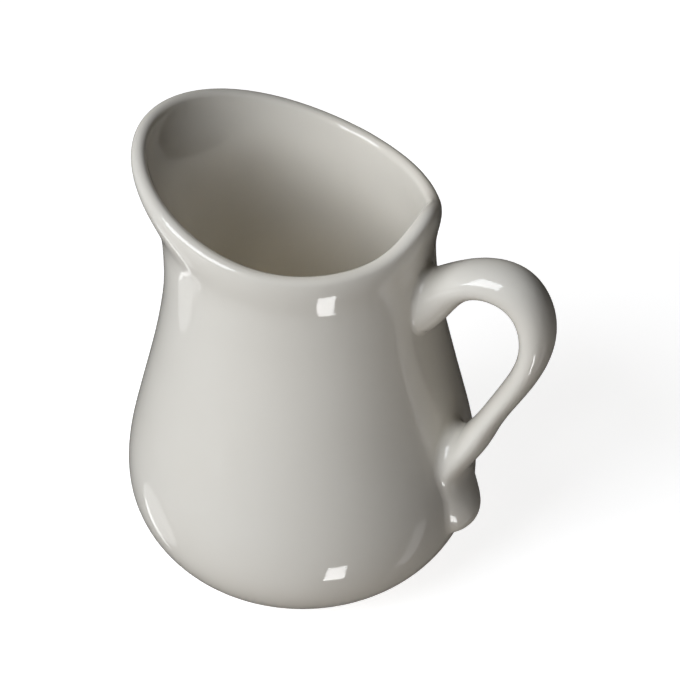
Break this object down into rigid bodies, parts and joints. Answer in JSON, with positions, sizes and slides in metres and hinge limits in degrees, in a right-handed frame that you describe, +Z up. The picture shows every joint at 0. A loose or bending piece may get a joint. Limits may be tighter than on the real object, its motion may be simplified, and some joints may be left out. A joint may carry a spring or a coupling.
{
  "type": "creamer jug",
  "caption": "Pear-shaped porcelain creamer with a pulled spout, a saddle-shaped rim rising to a point over the handle, and an ear-shaped handle.",
  "frame": {"origin": "on the body's axis, at the plane of the foot ring", "axes": "+Z up along the body's axis, +X towards the handle, the spout towards -X, +Y across the body"},
  "size_m": [0.0897, 0.0726, 0.0968],
  "materials": {
    "glazed_porcelain": "gloss"
  },
  "bodies": {
    "root": {"creamer": "glazed_porcelain"}
  },
  "joints": []
}
